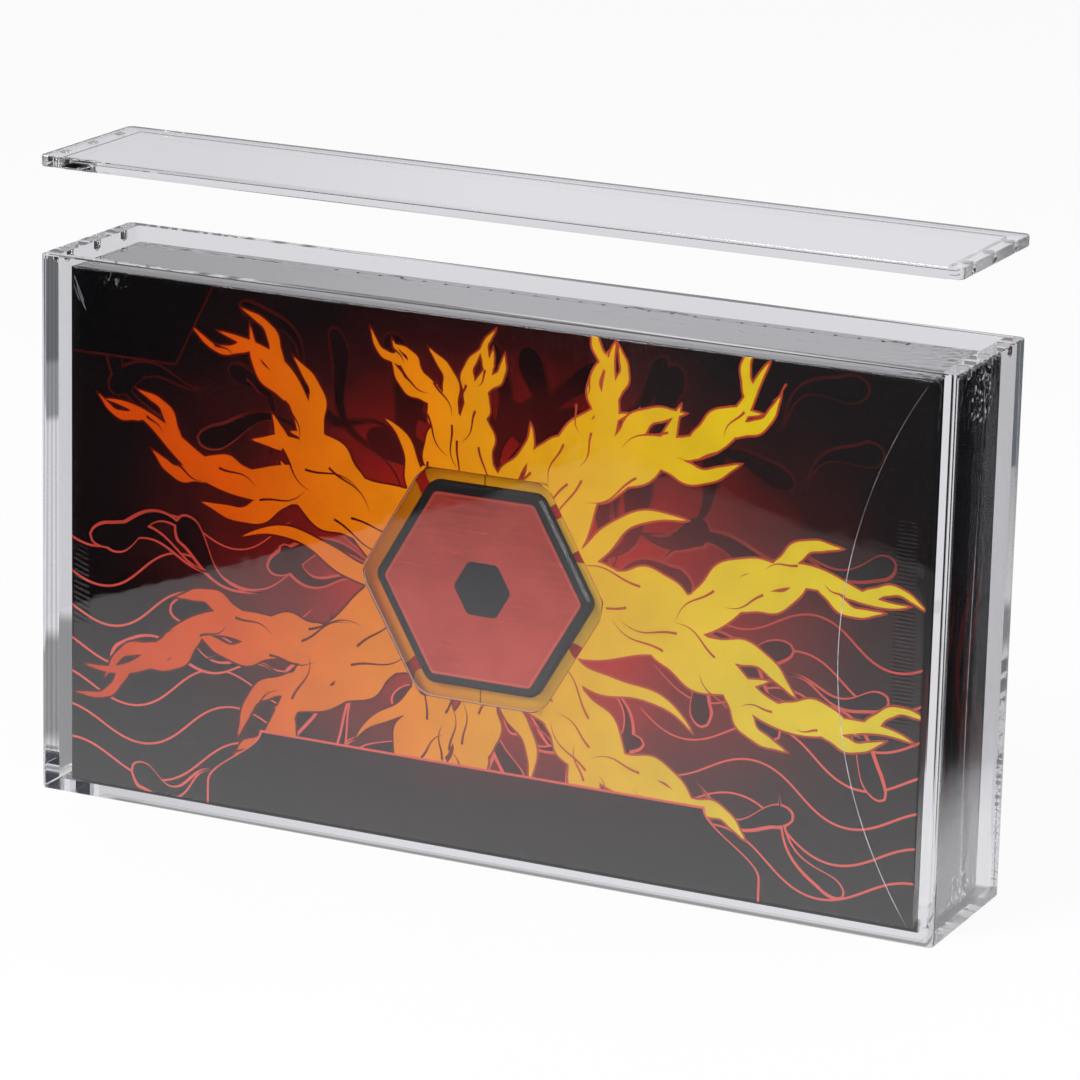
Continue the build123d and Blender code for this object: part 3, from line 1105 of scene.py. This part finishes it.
def mirrored_share(finish, x, y, z):
    """nF / (1 + (n - 1)F), times 0.4 on the rounded top edge and 0 on the vents. A vent is where the squares of both
    distances to the nearest one add up to less than its radius squared."""
    facing = finish.add("ShaderNodeLayerWeight", {}, {"Blend": 0.5}, output="Facing")
    one_face = 0.04 + facing ** 5.0 * 0.96
    on_card = (z > film_high.z - 1.0) * (y - film_low.y).climb(6.0, 9.0)
    mirrored = one_face * (on_card + 2.0) / (one_face * (on_card + 1.0) + 1.0)
    mirrored = mirrored * (1.0 - (off_top_edge(y, z) < edge_radius + 0.2) * 0.6)
    along = (x - first_vent) / vent_pitch
    offset = (along - along.maths("ROUND", along)) * vent_pitch
    vent = (offset * offset + (y - vent_y) * (y - vent_y) < vent_radius * vent_radius) * (z > film_high.z - 2.0)
    return mirrored * (1.0 - vent * x.within(vents[0] - 2.0, vents[-1] + 2.0, 0.5))


# %% [markdown]
# Where the film was dragged along an edge, it has hatching too fine for the grid, so this is a height for a bump.

# %% The hatching
def hatching(finish, point, x, y, z):
    """A sum of sines that run slantwise, each times the zone of its drag marks: the front's left and right, beside
    the side's seam, along the top edge, and below that edge a comb, (0.5 + 0.5 sin)^14."""
    ragged = finish.noise(point, 0.09, detail=3.0)
    from_edge = off_top_edge(y, z)
    off_seam = abs(y - seam_y)
    left_drag = x.within(film_low.x + 1.0, film_low.x + 9.0, 1.0) * z.within(81.0, 122.0, 2.0)
    right_drag = (x.within(film_high.x - 14.0, film_high.x - 5.0, 1.0) * z.within(62.0, 186.0, 6.0)
                  * (z.within(98.0, 142.0, 8.0) * 1.5 + 0.3) * ragged.climb(0.36, 0.44, 0.3, 1.0))
    side_drag = ((x > film_high.x - 2.0) * off_seam.within(1.5, 9.0, 1.0)
                 * z.within(film_low.z + 3.0, film_low.z + 42.0, 4.0))
    top_drag = from_edge.within(1.0, 7.0, 2.0) * ragged.climb(0.48, 0.56)
    comb = ((x * 0.924 + z * 0.1 + ragged * 2.0).sine() * 0.5 + 0.5) ** 14.0
    return (left_drag * ((z + x * 0.33) * 2.42 + ragged * 4.0).sine()
            + right_drag * (z * 3.6 + ragged * 4.0).sine()
            + side_drag * ((z - off_seam * 0.6) * 2.6 + ragged * 3.0).sine() * 3.0
            + top_drag * (x * 3.9 + z * 0.8 + ragged * 14.0).sine() * 0.6
            + comb * from_edge.climb(4.0, 16.0, 0.7, 0.0))


# %% [markdown]
# Where the film was crushed at the two ends of the side's weld, and a little where it was pinched at the front's top
# left corner, its creases sparkle. The pale specks there are painted sheen: pale plastic that stands in for the
# glints.

# %% The film's finish
def in_ellipse(first, second):
    """1 in the middle, falling to 0 at the rim: 1 less both squares."""
    return 1.0 - first * first - second * second


def crease_sheen_share(finish, point, x, y, z):
    """Painted sheen: three ellipses, broken up into specks by fine noise."""
    specks = finish.noise(point, 0.55, detail=4.0, squeeze=(1.0, 1.0, 0.7)).climb(0.56, 0.64)
    across = (y - 3.0) / 15.0
    crushed = in_ellipse(across, (z - 232.0) / 14.0).either(in_ellipse(across, (z - 14.0) / 13.0)).climb(0.0, 0.7)
    pinched = in_ellipse((x + 182.0) / 10.0, (z - 242.5) / 4.5).climb(0.0, 0.9)
    return (crushed * (x > film_high.x - 2.0) * 0.85 + pinched * (y < film_low.y + 1.0) * 0.12) * specks


def film_finish():
    """Clear, or a sharp mirror for the mirrored share, or pale plastic as painted sheen for the crease sheen share."""
    finish, point, x, y, z = new_finish("shrink_film")
    ripple = finish.noise(point, 0.06, detail=1.0)
    normal = finish.bump(hatching(finish, point, x, y, z) * 0.3 + ripple, 0.2, 0.0006)
    shine = finish.add("ShaderNodeBsdfGlossy", {}, {"Color": white, "Roughness": 0.03, "Normal": normal})
    clear = finish.add("ShaderNodeBsdfTransparent")
    smooth = finish.shaders(mirrored_share(finish, x, y, z), clear, shine)
    haze_and_sheen = finish.plastic(Base_Color=ink(226, 227, 230), Roughness=0.3)
    return finish.done(finish.shaders(crease_sheen_share(finish, point, x, y, z), smooth, haze_and_sheen))


film = grid_object("film_wrap", film_faces(), film_finish(), smooth=True, merge=0.001)
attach(film, "boxed_set")
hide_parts("shrink_film")

# %% [markdown]
# Where the film was welded shut, and where it was pinched, it has raised lines. Each is a thin closed bead along a
# curve on the film. The long seam on the front bows in from two corners, and another runs down the right side.

# %% Beads on the film
def bow(*controls, steps=120):
    """Points of a cubic curve with four control points, at even shares t: the sum of its Bernstein terms."""
    t = np.linspace(0.0, 1.0, steps)[:, None]
    weights = ((1 - t) ** 3, 3 * t * (1 - t) ** 2, 3 * t ** 2 * (1 - t), t ** 3)
    return sum(weight * np.array(control, float) for weight, control in zip(weights, controls))


def bead(path, out, half, height):
    """A closed bead: ellipses about the path, across it and out from it, shrinking to points at both ends."""
    out = np.array(out, float)
    ahead = np.gradient(path, axis=0)
    ahead /= np.linalg.norm(ahead, axis=1, keepdims=True)
    across = np.cross(ahead, out)
    share = np.linspace(0.0, 1.0, len(path))
    size = np.clip(np.minimum(share, 1 - share) * 30.0, 0.0, 1.0)[:, None, None]
    turn = np.linspace(0.0, -2 * np.pi, 9)[None, :, None]
    ring = across[:, None, :] * np.cos(turn) * half + out * np.sin(turn) * height
    return path[:, None, :] + ring * size


def bead_finish():
    """Milky where the film is doubled, which is partly the film's own haze and partly a painted highlight on the
    weld's
    fold: partly clear, partly pale and glossy. Higher up on the right the seams are only a fifth as pale."""
    finish, point, x, y, z = new_finish("film_seam")
    cloud = finish.noise(point, 0.2, detail=3.0)
    haze_and_sheen = finish.plastic(Base_Color=ink(214, 214, 220), Roughness=cloud.climb(0.3, 0.7, 0.15, 0.35))
    clear = finish.add("ShaderNodeBsdfTransparent")
    fainter_above = 1.0 - z.climb(154.0, 182.0) * (x > 0.0) * 0.82
    return finish.done(finish.shaders(cloud.climb(0.3, 0.7, 0.35, 0.75) * fainter_above, clear, haze_and_sheen))


front = film_low.y - 0.02
right = film_high.x + 0.02
to_front, to_right, to_top = (0, -1, 0), (1, 0, 0), (0, 0, 1)
seams = [bead(bow(*controls), out, half, height) for out, half, height, *controls in (
    (to_front, 0.19, 0.1, (206.4, front, 245), (176, front, 200), (142.5, front, 100), (207.1, front, 5.6)),
    (to_right, 0.22, 0.12, (right, 8.5, 246), (right, 5, 170), (right, -2, 70), (right, 7, 5.6)),
    (to_front, 0.15, 0.1, (-204.4, front, 242), (-203.2, front, 239), (-201, front, 235), (-199.4, front, 230.6)),
    (to_front, 0.12, 0.1, (-203, front, 237.5), (-202, front, 234), (-200, front, 230), (-198.2, front, 227)),
    (to_front, 0.09, 0.08, (-204.7, front, 238), (-204, front, 236), (-202.6, front, 233), (-201.6, front, 231)))]
seam_lines = grid_object("film_seams", seams, bead_finish(), smooth=True, merge=0.002)
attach(seam_lines, "boxed_set")

# %% [markdown]
# The machine's hot bar welds the film along the top in a dashed line that wanders. Each dash is a bead along a piece
# of one curve, with lengths and gaps drawn by chance. Round each vent the film has drawn back into a tiny rim.

# %% The dashed weld and the vents' rims on the top
top = film_high.z + 0.03
weld = bow((-198, 23, top), (-150, 14, top), (-60, 8, top), (196, 2, top), steps=600)


def dashes(path, lengths, gaps, seed, half, height):
    """Beads along a path, with lengths and gaps in points of the path, from a seeded source of chance."""
    chance = np.random.default_rng(seed)
    start, beads = 0, []
    while start + lengths[1] < len(path):
        count = int(chance.integers(*lengths))
        beads.append(bead(path[start:start + count], to_top, half, height))
        start += count + int(chance.integers(*gaps))
    return beads


def vent_rim(x):
    """A ring bead about a vent."""
    turn = np.linspace(0.0, 2 * np.pi, 17)
    circle = np.stack([x + vent_radius * np.cos(turn), vent_y + vent_radius * np.sin(turn), np.full(17, top)], axis=1)
    return bead(circle, to_top, 0.16, 0.12)


top_marks = (dashes(weld, lengths=(4, 14), gaps=(2, 9), seed=3, half=0.3, height=0.16)
             + [vent_rim(x) for x in vents])
top_lines = grid_object("film_top_marks", top_marks, film_finish(), smooth=True, merge=0.002)
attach(top_lines, "boxed_set")
